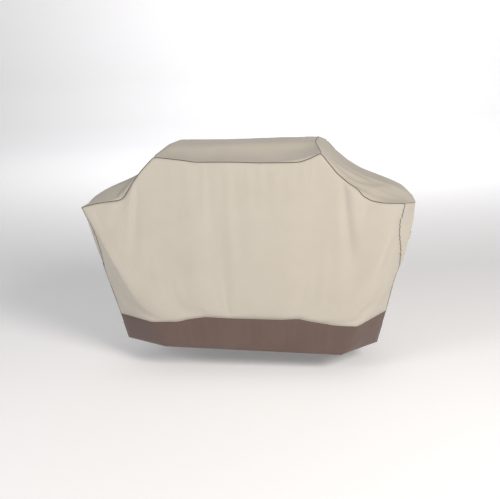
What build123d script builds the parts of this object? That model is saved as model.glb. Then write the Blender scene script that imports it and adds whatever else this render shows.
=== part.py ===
"""A fitted outdoor cover for a wide cart grill, as it hangs over the grill.

Two outline panels, front and back, are joined by a gusset strip that runs up one end,
over both side shelves and the hood, and down the other end. A darker band with a drawcord
casing closes the hem. Millimetres, +Z up, +X along the length, +Y to the back.
Heights are given above the hem; the finished pieces are moved so that the origin is the
underside of the flat crest of the top, which lies on the grill's hood.
"""
from build123d import *
import math
import os

# ---------------------------------------------------------------- cover outline
HALF_DEPTH = 305.0           # middle of the cover to the front or back panel
FLAT_HALF_DEPTH = 120.0      # half of the flat strip along the middle of the gusset
CLOTH = 1.2                  # woven face cloth with its backing

HEM_HALF_WIDTH = 485.0       # front panel, where its hem turns the corner
END_FOLD_HEIGHT = 780.0      # where the ends start to round over into the shelves
END_FOLD_HALF_WIDTH = 847.0
SHOULDER_HALF_WIDTH = 868.0  # front panel at the tip over the side shelf
SHOULDER_HEIGHT = 827.0
NOTCH_HALF_WIDTH = 640.0     # inner corner, where the shelf meets the slope of the hood
NOTCH_HEIGHT = 866.0
TOP_HALF_WIDTH = 440.0       # peak at each end of the top
TOP_HEIGHT = 1095.0
SAG_HALF_WIDTH = 340.0       # between the peaks the seam sags to this
SAG_HEIGHT = 1056.0

MID_HEM_HALF_WIDTH = 715.0   # the same corners along the middle of the gusset
MID_FOLD_HALF_WIDTH = 920.0
MID_SHOULDER_HALF_WIDTH = 897.0
MID_SHOULDER_HEIGHT = 843.0
MID_NOTCH_HALF_WIDTH = 640.0
MID_NOTCH_HEIGHT = 992.0
CREST_HALF_WIDTH = 390.0
CREST_HEIGHT = 1135.0
CREST_FLAT_HALF_WIDTH = 330.0

END_SEAM_HALF_DEPTH = 130.0  # the end gusset narrows to this
END_SEAM_HEIGHT = 440.0      # and keeps that width from here down to the hem
BAND_HEIGHT = 160.0
BINDING_WIDTH = 14.0         # tape over the raw edges inside the two long seams
BINDING = 1.4

# ---------------------------------------------------------------- hem drawcord
CASING_HEIGHT = 28.0
CASING_DEPTH = 10.4
CASING_CLOTH = 1.2
CORD_RADIUS = 2.0
CORD_CORNER_RADIUS = 12.0
CORD_HALF_SPACING = 3.2
FREE_CORD = 62.0             # drop of the two cord ends below the hem
GROMMET_RIM = 3.4
GROMMET = 1.2
CORD_CLEARANCE = 0.1

LOCK_DROP = 25.0             # hem to the middle of the cord lock
LOCK_RADIUS = 10.0
LOCK_WALL = 2.2
LOCK_LENGTH = 20.0
LOCK_FRONT = 8.0             # open end, beyond the cords
PLUNGER_PROUD = 6.0
PLUNGER_TRAVEL = 4.0
PLUNGER_CLEARANCE = 0.08
PLUNGER_END_WALL = 2.4
SPRING_WIRE = 0.45           # radius of the wire
SPRING_RADIUS = 4.4
SPRING_TURNS = 4
BELL_RADIUS = 6.2
BELL_LENGTH = 15.0
BELL_SOCKET = 9.0

# ---------------------------------------------------------------- lifting handles
HANDLE_HEIGHT = 600.0
HANDLE_HALF_LENGTH = 110.0
HANDLE_TAB = 40.0
HANDLE_RISE = 9.0            # underside of the webbing above its patches
HANDLE_RAMP = 16.0
HANDLE_WEBBING = 2.0
HANDLE_WIDTH = 38.0
GRIP_HALF_LENGTH = 46.0
GRIP_WIDTH = 46.0
GRIP = 9.0
PATCH = 1.2
PATCH_LENGTH = 46.0
PATCH_WIDTH = 50.0
SLEEVE_CLEARANCE = 0.1

# ---------------------------------------------------------------- leg straps
STRAP_HEIGHT = 84.0
STRAP_SEAM_GAP = 3.0         # end of a strap to the tape of the long seam
STRAP_HALF_LENGTH = END_SEAM_HALF_DEPTH - BINDING_WIDTH - STRAP_SEAM_GAP
STRAP_TAB = 34.0
STRAP_WEBBING = 1.5
STRAP_WIDTH = 25.0
STRAP_PATCH_WIDTH = 36.0
BUCKLE_HALF_THICKNESS = 5.0
BUCKLE_HALF_WIDTH = 17.0
BUCKLE_GAP = 1.0             # buckle to the cloth
BUCKLE_WALL = 1.9
BAR_RADIUS = 1.5
BAR_CLEARANCE = 0.2
SOCKET_LENGTH = 28.0
SOCKET_DEPTH = 24.0
INSERT_LENGTH = 18.0
INSERT_CLEARANCE = 0.5
PRONG_WIDTH = 4.2
TONGUE_WIDTH = 4.0
WINDOW_LENGTH = 10.0
BAR_REACH = 11.0             # end of the moulding to the far side of its webbing slot
BAR_BACK = 1.6               # end of the moulding to the middle of its bar

# ---------------------------------------------------------------- back vents
VENT_OFFSET = 300.0
VENT_HEIGHT = 935.0
VENT_WINDOW = (160.0, 62.0)
MESH_BORDER = 9.0
MESH = 0.8
HOOD_WIDTH = 196.0
HOOD_HEIGHT = 96.0
HOOD_STAND = 26.0            # how far the hood's mouth stands off the panel
HOOD_TOP_STAND = 4.0
HOOD_CLOTH = 1.2

FAR = 2000.0                 # beyond the cover in any direction
SLACK = 60.0                 # how far cutting shapes run past what they cut
SIDES = {"right": 1, "left": -1}
PARTS = "parts"


# ---------------------------------------------------------------- helpers
def parallel(points, distance):
    """The open polyline moved sideways, to the left of its direction, with mitred corners."""
    sideways = []
    for (ax, ay), (bx, by) in zip(points, points[1:]):
        length = math.hypot(bx - ax, by - ay)
        sideways.append((-(by - ay) / length, (bx - ax) / length))
    pairs = zip([sideways[0]] + sideways, sideways + [sideways[-1]])
    moved = []
    for (x, y), ((ax, ay), (bx, by)) in zip(points, pairs):
        stretch = distance / (1 + ax * bx + ay * by)
        moved.append((x + (ax + bx) * stretch, y + (ay + by) * stretch))
    return moved


def slab(size_x, size_y, low_z, high_z, x=0.0, y=0.0):
    """A box centred on x, y between two levels."""
    return Pos(x, y, (low_z + high_z) / 2) * Box(size_x, size_y, high_z - low_z)


def strip(centre, thickness, width):
    """Webbing along a polyline in the XZ plane, with its width along Y."""
    edge = parallel(centre, thickness / 2) + parallel(centre, -thickness / 2)[::-1]
    face = make_face(Polyline(*[(x, 0, z) for x, z in edge], close=True))
    return Pos(0, width / 2, 0) * extrude(face, amount=width, dir=(0, -1, 0))


def prism_x(corners, half_length):
    """A prism along X from corners in the YZ plane."""
    face = make_face(Polyline(*[(-half_length, y, z) for y, z in corners], close=True))
    return extrude(face, amount=2 * half_length, dir=(1, 0, 0))


def solid_of(shape):
    """The one solid of a shape made by cutting."""
    found = shape.solids()
    assert len(found) == 1, f"{len(found)} solids where one was meant"
    return found[0]


# ---------------------------------------------------------------- cover form
EDGE = [
    (HEM_HALF_WIDTH, 0.0),
    (END_FOLD_HALF_WIDTH, END_FOLD_HEIGHT),
    (SHOULDER_HALF_WIDTH, SHOULDER_HEIGHT),
    (NOTCH_HALF_WIDTH, NOTCH_HEIGHT),
    (TOP_HALF_WIDTH, TOP_HEIGHT),
    (SAG_HALF_WIDTH, SAG_HEIGHT),
]
MIDDLE = [
    (MID_HEM_HALF_WIDTH, 0.0),
    (MID_FOLD_HALF_WIDTH, END_FOLD_HEIGHT),
    (MID_SHOULDER_HALF_WIDTH, MID_SHOULDER_HEIGHT),
    (MID_NOTCH_HALF_WIDTH, MID_NOTCH_HEIGHT),
    (CREST_HALF_WIDTH, CREST_HEIGHT),
    (CREST_FLAT_HALF_WIDTH, CREST_HEIGHT),
]


def outline(half, depth):
    """The outline of a section, moved inwards by depth, with its sides run on below the hem."""
    (hx, hz), (sx, sz) = half[0], half[1]
    foot = (hx - (sx - hx) / (sz - hz) * SLACK, hz - SLACK)
    whole = [foot] + half[1:]
    whole = whole + [(-x, z) for x, z in reversed(whole)]
    return parallel(whole, depth)


def loft_form(depth, end, past=0.0):
    """A solid through the sections, whose ends stand at the given half depth and may run past it."""
    half_depths = [(-end, EDGE), (-FLAT_HALF_DEPTH, MIDDLE), (FLAT_HALF_DEPTH, MIDDLE), (end, EDGE)]
    if past:
        half_depths = [(-end - past, EDGE)] + half_depths + [(end + past, EDGE)]
    sections = []
    for y, half in half_depths:
        points = outline(half, depth)
        sections.append(Wire.make_polygon([(x, y, z) for x, z in points], close=True))
    return Solid.make_loft(sections, ruled=True)


def layer(outer, inner):
    """The cloth between two depths below the outer face, open at the hem."""
    skin = loft_form(outer, HALF_DEPTH - outer) - loft_form(inner, HALF_DEPTH - inner)
    return skin - slab(FAR, FAR, -2 * SLACK, 0)


def front_zone(shift=0.0):
    """All that lies in front of the front seam, moved back by shift."""
    seam_y = -(HALF_DEPTH - CLOTH) + shift
    end_y = -END_SEAM_HALF_DEPTH + shift
    seam = [(end_y, -SLACK), (end_y, END_SEAM_HEIGHT), (seam_y, SHOULDER_HEIGHT), (seam_y, FAR)]
    return prism_x([(-FAR, -SLACK)] + seam + [(-FAR, FAR)], FAR)


def back_of(shape):
    """The same piece at the back of the cover."""
    return shape.mirror(Plane.XZ)


def side_of(shape, side):
    """A piece made for the right-hand end, or its mirror image."""
    return shape if SIDES[side] > 0 else shape.mirror(Plane.YZ)


def gusset_strip():
    """The whole gusset, between the two long seams."""
    return layer(0, CLOTH) - front_zone() - back_of(front_zone())


def shoulder_level():
    """All below the fold where the end gusset turns over the side shelf."""
    edge_z = SHOULDER_HEIGHT - CLOTH
    mid_z = MID_SHOULDER_HEIGHT - CLOTH
    half = [(-FAR, edge_z), (-HALF_DEPTH, edge_z), (-FLAT_HALF_DEPTH, mid_z)]
    corners = half + [(-y, z) for y, z in reversed(half)] + [(FAR, -SLACK), (-FAR, -SLACK)]
    return prism_x(corners, FAR)


def top_zone():
    """All between the two folds at the ends of the top."""
    half = [
        (TOP_HALF_WIDTH, -HALF_DEPTH),
        (CREST_HALF_WIDTH, -FLAT_HALF_DEPTH),
        (CREST_HALF_WIDTH, FLAT_HALF_DEPTH),
        (TOP_HALF_WIDTH, HALF_DEPTH),
    ]
    corners = half + [(-x, y) for x, y in reversed(half)]
    face = make_face(Polyline(*[(x, y, TOP_HEIGHT - SLACK) for x, y in corners], close=True))
    return extrude(face, amount=3 * SLACK, dir=(0, 0, 1))


def end_half():
    """The right-hand half of space."""
    return Pos(FAR / 2, 0, 0) * Box(FAR, 2 * FAR, 4 * FAR)


def band_zone():
    return slab(2 * FAR, 2 * FAR, 0, BAND_HEIGHT)


def vent_windows():
    """The two openings in the back panel."""
    width, height = VENT_WINDOW
    return [
        Pos(side * VENT_OFFSET, HALF_DEPTH, VENT_HEIGHT) * Box(width, SLACK, height)
        for side in SIDES.values()
    ]


def cloth_panels():
    """The light cloth and the darker band, cut from one skin at the seams."""
    front = layer(0, CLOTH) & front_zone()
    gusset = gusset_strip()
    end = gusset & shoulder_level() & end_half()
    above = gusset - shoulder_level()
    pieces = {
        "front_panel": solid_of(front - band_zone()),
        "front_hem_band": solid_of(front & band_zone()),
        "back_panel": solid_of(back_of(front - band_zone()) - vent_windows()),
        "back_hem_band": solid_of(back_of(front & band_zone())),
        "top_gusset": solid_of(above & top_zone()),
    }
    shoulder = solid_of((above - top_zone()) & end_half())
    for side in SIDES:
        pieces[f"{side}_shoulder_gusset"] = side_of(shoulder, side)
        pieces[f"{side}_end_gusset"] = side_of(solid_of(end - band_zone()), side)
        pieces[f"{side}_hem_band"] = side_of(solid_of(end & band_zone()), side)
    return pieces


def seam_bindings():
    """Tape over the raw edges, on the gusset's inner face beside each long seam."""
    inside = CLOTH + BINDING
    outer = loft_form(CLOTH, HALF_DEPTH - CLOTH)
    inner = loft_form(inside, HALF_DEPTH - CLOTH, past=SLACK)
    lining = outer - inner - slab(FAR, FAR, -2 * SLACK, CASING_HEIGHT + BINDING)
    tape = solid_of(lining & (front_zone(BINDING_WIDTH) - front_zone()))
    return {"front_seam_binding": tape, "back_seam_binding": back_of(tape)}


# ---------------------------------------------------------------- hem drawcord and its lock
CORD_DEPTH = CLOTH + CASING_DEPTH / 2
CORD_HEIGHT = CASING_HEIGHT / 2
CORD_Y = HALF_DEPTH - CORD_DEPTH


def hem_corners(depth, height):
    """Plan corners of the right-hand end at a depth below the outer face, front to back."""
    found = []
    for y, half in ((-(HALF_DEPTH - depth), EDGE), (-FLAT_HALF_DEPTH, MIDDLE)):
        (ax, az), (bx, bz) = outline(half, depth)[:2]
        found.append((ax + (bx - ax) * (height - az) / (bz - az), y))
    return found + [(x, -y) for x, y in reversed(found)]


def drawcord_path():
    """Out of the lock, all the way round inside the casing and back down to the lock."""
    end = -FREE_CORD + BELL_LENGTH - BELL_SOCKET
    right = hem_corners(CORD_DEPTH, CORD_HEIGHT)
    ring = [(-x, y) for x, y in reversed(right)] + right
    plan = [(-CORD_HALF_SPACING, CORD_Y)] + ring + [(CORD_HALF_SPACING, CORD_Y)]
    route = [(x, y, CORD_HEIGHT) for x, y in plan]
    route = [(-CORD_HALF_SPACING, CORD_Y, end)] + route + [(CORD_HALF_SPACING, CORD_Y, end)]
    return FilletPolyline(*route, radius=CORD_CORNER_RADIUS - CORD_RADIUS)


def cord_slot(low, high, clearance):
    """The way of the two cords side by side, between two heights."""
    length = 2 * (CORD_HALF_SPACING + CORD_RADIUS + clearance)
    face = SlotOverall(length, 2 * (CORD_RADIUS + clearance))
    return Pos(0, CORD_Y, low) * extrude(face, amount=high - low)


def hem_casing():
    """The folded tunnel inside the foot of the band."""
    outside = layer(CLOTH, CLOTH + CASING_DEPTH) & slab(FAR, FAR, 0, CASING_HEIGHT)
    hollow = layer(CLOTH + CASING_CLOTH, CLOTH + CASING_DEPTH - CASING_CLOTH)
    hollow = hollow & slab(FAR, FAR, CASING_CLOTH, CASING_HEIGHT - CASING_CLOTH)
    return solid_of(outside - hollow - cord_slot(-SLACK, CORD_HEIGHT, 3 * CORD_CLEARANCE))


def grommet():
    """The oval ring that both cords leave the casing through."""
    length = 2 * (CORD_HALF_SPACING + CORD_RADIUS + GROMMET_RIM)
    width = min(2 * (CORD_RADIUS + GROMMET_RIM), CASING_DEPTH)
    plate = Pos(0, CORD_Y, -GROMMET) * extrude(SlotOverall(length, width), amount=GROMMET)
    return solid_of(plate - cord_slot(-SLACK, SLACK, CORD_CLEARANCE))


def turned(radius, low_y, high_y, height=-LOCK_DROP):
    """A cylinder along Y, in the line of the cord lock."""
    middle = (low_y + high_y) / 2
    return Pos(0, middle, height) * Rot(90, 0, 0) * Cylinder(radius, high_y - low_y)


def cord_lock():
    """Barrel, plunger and spring, pinching the two cords that pass through them."""
    mouth = CORD_Y + LOCK_FRONT
    foot = mouth - LOCK_LENGTH
    bore = LOCK_RADIUS - LOCK_WALL
    cords = cord_slot(-LOCK_DROP - 2 * LOCK_RADIUS, -LOCK_DROP + 2 * LOCK_RADIUS, CORD_CLEARANCE)
    barrel = turned(LOCK_RADIUS, foot, mouth) - turned(bore, foot + LOCK_WALL, mouth + SLACK) - cords
    barrel = fillet(barrel.edges().filter_by(GeomType.CIRCLE).group_by(Axis.Y)[0], LOCK_WALL / 2)
    slot_back = CORD_Y - CORD_RADIUS - CORD_CLEARANCE
    plunger_back = slot_back - PLUNGER_END_WALL
    plunger = turned(bore - PLUNGER_CLEARANCE, plunger_back, mouth + PLUNGER_PROUD)
    plunger = fillet(plunger.edges().group_by(Axis.Y)[-1], PLUNGER_PROUD / 3)
    slot_length = 2 * (CORD_RADIUS + CORD_CLEARANCE) + PLUNGER_TRAVEL
    slot_width = 2 * (CORD_HALF_SPACING + CORD_RADIUS + CORD_CLEARANCE)
    slot = Pos(0, slot_back + slot_length / 2, -LOCK_DROP) * Box(slot_width, slot_length, 4 * LOCK_RADIUS)
    coil_length = plunger_back - foot - LOCK_WALL - 2 * SPRING_WIRE
    helix = Helix(coil_length / SPRING_TURNS, coil_length, SPRING_RADIUS)
    wire = sweep(Plane(helix @ 0, z_dir=helix % 0) * Circle(SPRING_WIRE), path=helix)
    spring = Pos(0, foot + LOCK_WALL + SPRING_WIRE, -LOCK_DROP) * Rot(-90, 0, 0) * wire
    return {
        "cord_lock_barrel": solid_of(barrel),
        "cord_lock_plunger": solid_of(plunger - slot),
        "cord_lock_spring": solid_of(spring),
    }


def cord_end_bell():
    """The moulded end that holds both cord tips."""
    body = Pos(0, CORD_Y, -FREE_CORD + BELL_LENGTH / 2) * Cone(BELL_RADIUS + CORD_RADIUS, BELL_RADIUS, BELL_LENGTH)
    body = chamfer(body.edges().filter_by(GeomType.CIRCLE), CORD_RADIUS / 2)
    return solid_of(body - cord_slot(-FREE_CORD + BELL_LENGTH - BELL_SOCKET, 0, CORD_CLEARANCE))


def hem_cord_pieces():
    path = drawcord_path()
    cord = solid_of(sweep(Plane(path @ 0, z_dir=path % 0) * Circle(CORD_RADIUS), path=path))
    meant = math.pi * CORD_RADIUS**2 * path.length
    print(f"drawcord {path.length:.0f} mm, volume {cord.volume / meant:.4f} of section times length")
    pieces = {"hem_casing": hem_casing(), "hem_drawcord": cord, "drawcord_grommet": grommet()}
    return pieces | cord_lock() | {"cord_end_bell": cord_end_bell()}


# ---------------------------------------------------------------- pieces on the end gussets
def end_plane(height):
    """On the outer face of the right-hand end: X to the back, Y up the cloth, Z outwards."""
    (hx, hz), (sx, sz) = MIDDLE[0], MIDDLE[1]
    share = (height - hz) / (sz - hz)
    outwards = Vector(sz - hz, 0, hx - sx).normalized()
    return Plane(origin=(hx + (sx - hx) * share, 0, height), x_dir=(0, 1, 0), z_dir=outwards)


def handle_pieces():
    """A padded webbing handle on each end, to lift the cover by."""
    low = PATCH + HANDLE_WEBBING / 2
    high = low + HANDLE_RISE
    inner = HANDLE_HALF_LENGTH - HANDLE_TAB
    half = [(inner - HANDLE_RAMP, high), (inner, low), (HANDLE_HALF_LENGTH, low)]
    centre = [(-x, z) for x, z in reversed(half)] + half
    webbing = strip(centre, HANDLE_WEBBING, HANDLE_WIDTH)
    grip = slab(2 * GRIP_HALF_LENGTH, GRIP_WIDTH, high - GRIP / 2, high + GRIP / 2)
    grip = fillet(grip.edges().filter_by(Axis.X), GRIP / 2 - SLEEVE_CLEARANCE)
    sleeve = 2 * SLEEVE_CLEARANCE
    grip = grip - slab(FAR, HANDLE_WIDTH + sleeve, high - low + PATCH - SLEEVE_CLEARANCE,
                       high + HANDLE_WEBBING / 2 + SLEEVE_CLEARANCE)
    patches = [
        slab(PATCH_LENGTH, PATCH_WIDTH, 0, PATCH, x=side * (HANDLE_HALF_LENGTH - HANDLE_TAB / 2))
        for side in SIDES.values()
    ]
    place = end_plane(HANDLE_HEIGHT)
    pieces = {}
    for side in SIDES:
        pieces[f"{side}_handle_webbing"] = side_of(solid_of(place * webbing), side)
        pieces[f"{side}_handle_grip"] = side_of(solid_of(place * grip), side)
        pieces[f"{side}_handle_patches"] = side_of(Compound([place * p for p in patches]), side)
    return pieces


BUCKLE_LEVEL = -(CLOTH + BUCKLE_GAP + BUCKLE_HALF_THICKNESS)
THROAT_HALF_WIDTH = BUCKLE_HALF_WIDTH - BUCKLE_WALL
THROAT_HALF_HEIGHT = BUCKLE_HALF_THICKNESS - BUCKLE_WALL
RING_INNER = BAR_RADIUS + BAR_CLEARANCE
RING_OUTER = RING_INNER + STRAP_WEBBING


def across(radius, x, width):
    """A cylinder across the strap, at the level of the buckle."""
    return Pos(x, 0, BUCKLE_LEVEL) * Rot(90, 0, 0) * Cylinder(radius, width)


def buckle_block(low_x, high_x, half_width, half_height, y=0.0):
    middle = (low_x + high_x) / 2
    return Pos(middle, y, BUCKLE_LEVEL) * Box(high_x - low_x, 2 * half_width, 2 * half_height)


def bar_end(end_x, outwards, half_height):
    """Cuts and bar of a moulding's webbing end; outwards is +1 or -1 along the strap."""
    slot_half = (STRAP_WIDTH + 1) / 2
    inner_x = end_x - outwards * BAR_REACH
    low, high = sorted((inner_x, end_x + outwards * SLACK))
    bar_x = end_x - outwards * BAR_BACK
    cut = buckle_block(low, high, slot_half, 2 * half_height)
    return cut, across(BAR_RADIUS, bar_x, 2 * slot_half + BUCKLE_WALL), bar_x


def buckle_female():
    """The moulding with the throat, in which the insert's prongs sit."""
    body = buckle_block(-SOCKET_LENGTH - BAR_REACH, 0, BUCKLE_HALF_WIDTH, BUCKLE_HALF_THICKNESS)
    body = fillet(body.edges().filter_by(Axis.X), BUCKLE_WALL)
    throat = buckle_block(-SOCKET_DEPTH, SLACK, THROAT_HALF_WIDTH, THROAT_HALF_HEIGHT)
    window_x = -SOCKET_DEPTH + 2 * BUCKLE_WALL
    window = buckle_block(window_x, window_x + WINDOW_LENGTH, SLACK, THROAT_HALF_HEIGHT)
    cut, bar, bar_x = bar_end(-SOCKET_LENGTH - BAR_REACH, -1, BUCKLE_HALF_THICKNESS)
    return solid_of(body - throat - window - cut + bar), bar_x


def buckle_male():
    """The insert: a base with its bar, two prongs and a middle tongue."""
    low = INSERT_CLEARANCE
    half_height = BUCKLE_HALF_THICKNESS - INSERT_CLEARANCE
    end_x = low + INSERT_LENGTH
    base = buckle_block(low, end_x, BUCKLE_HALF_WIDTH - INSERT_CLEARANCE, half_height)
    base = fillet(base.edges().filter_by(Axis.X), BUCKLE_WALL)
    cut, bar, bar_x = bar_end(end_x, 1, half_height)
    reach = -SOCKET_DEPTH + INSERT_CLEARANCE
    slim = THROAT_HALF_HEIGHT - INSERT_CLEARANCE
    prong_y = THROAT_HALF_WIDTH - INSERT_CLEARANCE - PRONG_WIDTH / 2
    body = base - cut + bar
    for side in SIDES.values():
        prong = buckle_block(reach, low, PRONG_WIDTH / 2, slim, y=side * prong_y)
        tip = prong.edges().filter_by(Axis.Z).group_by(Axis.X)[0]
        body = body + chamfer(tip, PRONG_WIDTH / 3)
    body = body + buckle_block(reach / 2, low, TONGUE_WIDTH / 2, slim)
    return solid_of(body), bar_x


def strap_webbing(bar_x, side):
    """One strap half: sewn flat to its patch, then out to the bar and round it."""
    low = -(CLOTH + PATCH + STRAP_WEBBING / 2)
    tab = STRAP_HALF_LENGTH - STRAP_TAB
    reach = side * bar_x
    centre = [(reach, BUCKLE_LEVEL + RING_OUTER - STRAP_WEBBING / 2), (tab, low), (STRAP_HALF_LENGTH, low)]
    length = strip([(side * x, z) for x, z in centre], STRAP_WEBBING, STRAP_WIDTH)
    ring = across(RING_OUTER, bar_x, STRAP_WIDTH)
    return solid_of(length + ring - across(RING_INNER, bar_x, 2 * STRAP_WIDTH))


def strap_pieces():
    """A strap with a side-release buckle inside each end of the hem, to go round a leg."""
    female, female_bar = buckle_female()
    male, male_bar = buckle_male()
    patches = [
        slab(STRAP_TAB, STRAP_PATCH_WIDTH, -CLOTH - PATCH, -CLOTH, x=side * (STRAP_HALF_LENGTH - STRAP_TAB / 2))
        for side in SIDES.values()
    ]
    place = end_plane(STRAP_HEIGHT)
    pieces = {}
    for side in SIDES:
        pieces[f"{side}_strap_patches"] = side_of(Compound([place * p for p in patches]), side)
        pieces[f"{side}_buckle_socket"] = side_of(solid_of(place * female), side)
        pieces[f"{side}_buckle_insert"] = side_of(solid_of(place * male), side)
        pieces[f"{side}_socket_webbing"] = side_of(solid_of(place * strap_webbing(female_bar, -1)), side)
        pieces[f"{side}_insert_webbing"] = side_of(solid_of(place * strap_webbing(male_bar, 1)), side)
    return pieces


# ---------------------------------------------------------------- back vents
def vent_hood():
    """A stiffened hood over a vent window, open along its lower edge."""
    foot = VENT_HEIGHT - HOOD_HEIGHT / 2
    head = VENT_HEIGHT + HOOD_HEIGHT / 2
    face = [(HALF_DEPTH + HOOD_STAND, foot), (HALF_DEPTH + HOOD_TOP_STAND, head), (HALF_DEPTH, head)]
    outside = prism_x([(HALF_DEPTH, foot)] + face, HOOD_WIDTH / 2)
    inner = parallel(face, HOOD_CLOTH)
    hollow = [(HALF_DEPTH - SLACK, foot), inner[0], inner[1], (HALF_DEPTH - SLACK, inner[1][1])]
    drop = [(y, z - SLACK if z == foot else z) for y, z in hollow[:1]]
    lean = (inner[0][0] - inner[1][0]) / (inner[1][1] - inner[0][1])
    mouth = (inner[0][0] + lean * SLACK, inner[0][1] - SLACK)
    cut = prism_x(drop + [mouth] + hollow[2:], HOOD_WIDTH / 2 - HOOD_CLOTH)
    return solid_of(outside - cut)


def vent_mesh():
    """The screen sewn behind a vent window."""
    width, height = VENT_WINDOW
    middle = HALF_DEPTH - CLOTH - MESH / 2
    return Pos(0, middle, VENT_HEIGHT) * Box(width + 2 * MESH_BORDER, MESH, height + 2 * MESH_BORDER)


def vent_pieces():
    hood = vent_hood()
    mesh = vent_mesh()
    pieces = {}
    for side, sign in SIDES.items():
        pieces[f"{side}_vent_hood"] = Pos(sign * VENT_OFFSET, 0, 0) * hood
        pieces[f"{side}_vent_mesh"] = Pos(sign * VENT_OFFSET, 0, 0) * mesh
    return pieces


# ---------------------------------------------------------------- writing
def main():
    os.makedirs(PARTS, exist_ok=True)
    pieces = cloth_panels() | seam_bindings() | hem_cord_pieces()
    pieces = pieces | handle_pieces() | strap_pieces() | vent_pieces()
    rest = Pos(0, 0, -(CREST_HEIGHT - CLOTH))
    for name, piece in pieces.items():
        export_step(rest * piece, os.path.join(PARTS, f"{name}.step"))
    print(f"{len(pieces)} nodes")


main()
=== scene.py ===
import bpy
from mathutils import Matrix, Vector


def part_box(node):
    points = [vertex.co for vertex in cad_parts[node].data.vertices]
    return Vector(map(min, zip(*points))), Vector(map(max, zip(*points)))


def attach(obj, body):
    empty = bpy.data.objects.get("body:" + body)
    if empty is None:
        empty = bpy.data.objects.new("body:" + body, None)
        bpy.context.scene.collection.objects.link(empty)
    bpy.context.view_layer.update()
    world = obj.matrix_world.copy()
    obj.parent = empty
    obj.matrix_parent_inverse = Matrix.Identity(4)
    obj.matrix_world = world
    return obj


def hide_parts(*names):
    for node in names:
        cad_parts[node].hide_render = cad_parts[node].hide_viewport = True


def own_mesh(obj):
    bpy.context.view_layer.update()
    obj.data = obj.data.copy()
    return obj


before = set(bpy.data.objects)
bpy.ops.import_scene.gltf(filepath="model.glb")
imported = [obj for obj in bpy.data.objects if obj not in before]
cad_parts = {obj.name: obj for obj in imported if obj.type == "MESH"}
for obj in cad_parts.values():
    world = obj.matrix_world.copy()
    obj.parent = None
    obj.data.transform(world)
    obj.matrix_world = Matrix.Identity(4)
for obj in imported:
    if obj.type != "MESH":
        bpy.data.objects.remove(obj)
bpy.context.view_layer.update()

import math

import bmesh
import bpy
from bpy.props import FloatProperty, FloatVectorProperty, PointerProperty
from bpy.types import Operator, Panel, PropertyGroup
from mathutils import Matrix, Vector, noise
from mathutils.bvhtree import BVHTree

bl_info = {
    "name": "Grill Cover",
    "version": (1, 0, 0),
    "blender": (4, 5, 0),
    "location": "3D View > Sidebar > Grill Cover",
    "description": "Drapes and finishes a fitted cloth cover for a wide cart grill",
    "category": "Add Mesh",
}

MM = 0.001
BODY = "cover"
SIDES = {"right": 1, "left": -1}

# ---------------------------------------------------------------- places from the frame
HEM_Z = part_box("front_hem_band")[0].z
BACK_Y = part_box("back_panel")[1].y
FLOOR_GAP = 0.125            # the grill's wheels hold the hem this far off the floor
STRIP_Y = 0.12               # half of the flat strip along the middle of the gusset

# ---------------------------------------------------------------- drape of the cover
# Corners of the draped cloth in millimetres, half widths and heights above the hem, from the
# hem up the end, over the shelf and the hood to the top: at the front seam, then at the middle.
RIGHT_DRAPE = [
    (520, -5, 715, 2), (610, 160, 767, 190), (700, 345, 812, 375), (755, 550, 868, 520),
    (784, 680, 904, 670), (866, 827, 922, 795), (740, 830, 885, 848), (685, 842, 815, 882),
    (642, 868, 735, 932), (620, 903, 700, 955), (571, 936, 640, 992), (514, 989, 540, 1051),
    (437, 1095, 392, 1133), (373, 1064, 345, 1136), (322, 1048, 300, 1136), (120, 1050, 110, 1136),
]
LEFT_DRAPE = [
    (455, 33, 718, 14), (520, 178, 757, 165), (625, 345, 800, 320), (728, 550, 860, 535),
    (790, 680, 895, 675), (869, 834, 918, 785), (800, 848, 880, 842), (730, 859, 815, 878),
    (648, 865, 735, 925), (622, 880, 700, 948), (573, 955, 640, 985), (518, 1026, 540, 1047),
    (447, 1096, 395, 1138), (289, 1074, 345, 1140), (221, 1062, 300, 1140), (110, 1060, 110, 1138),
]
TOP_MIDDLE = (0, 1057, 0, 1137)
BACK_HEM = (487, 0, 715, 2)
TIP_ROW, TOP_ROW = 5, 12      # rows at the shelf's corner and at the top seam
SEAM_TURN_Z = 0.44           # height where the end seams reach the middle strip
PANEL_NAMES = [
    "front_panel", "back_panel", "top_gusset", "left_shoulder_gusset", "right_shoulder_gusset",
    "left_end_gusset", "right_end_gusset", "front_hem_band", "back_hem_band", "left_hem_band",
    "right_hem_band",
]
FRONT, BACK, TOP = 0, 1, 2
SHOULDER = {"left": 3, "right": 4}
END = {"left": 5, "right": 6}
FRONT_BAND, BACK_BAND = 7, 8
END_BAND = {"left": 9, "right": 10}


CLOTH = 0.0012
DRAPE_FRAMES = 16
# Folds in millimetres across the front and up from the hem: start, end, width and height
FRONT_FOLDS = [
    ((-560, 930), (-700, 640), 42, 9), ((-575, 925), (-640, 520), 40, 8), ((-560, 930), (-520, 560), 46, 6),
    ((-600, 900), (-800, 760), 34, 7), ((575, 930), (700, 660), 44, 9), ((570, 935), (620, 520), 44, 7),
    ((600, 900), (810, 780), 34, 8), ((560, 930), (430, 600), 50, 5), ((-60, 700), (260, 240), 90, 4),
    ((790, 700), (640, 240), 40, 8), ((-770, 640), (-560, 200), 44, 8), ((-300, 620), (-180, 240), 80, 4),
]
BACK_FOLDS = [
    ((570, 930), (700, 640), 42, 8), ((-570, 930), (-700, 640), 42, 8), ((560, 930), (520, 560), 46, 5),
    ((-560, 930), (-500, 560), 46, 5), ((790, 700), (640, 240), 40, 6), ((-790, 700), (-640, 240), 40, 6),
]
CLOTH_HEX, CLOTH_SHADE_HEX = "c6bfb4", "b5ada0"
BAND_HEX, BAND_SHADE_HEX = "6e5c56", "5c4b45"
BINDING_HEX, WEBBING_HEX = "4a3a33", "3b3230"
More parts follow.
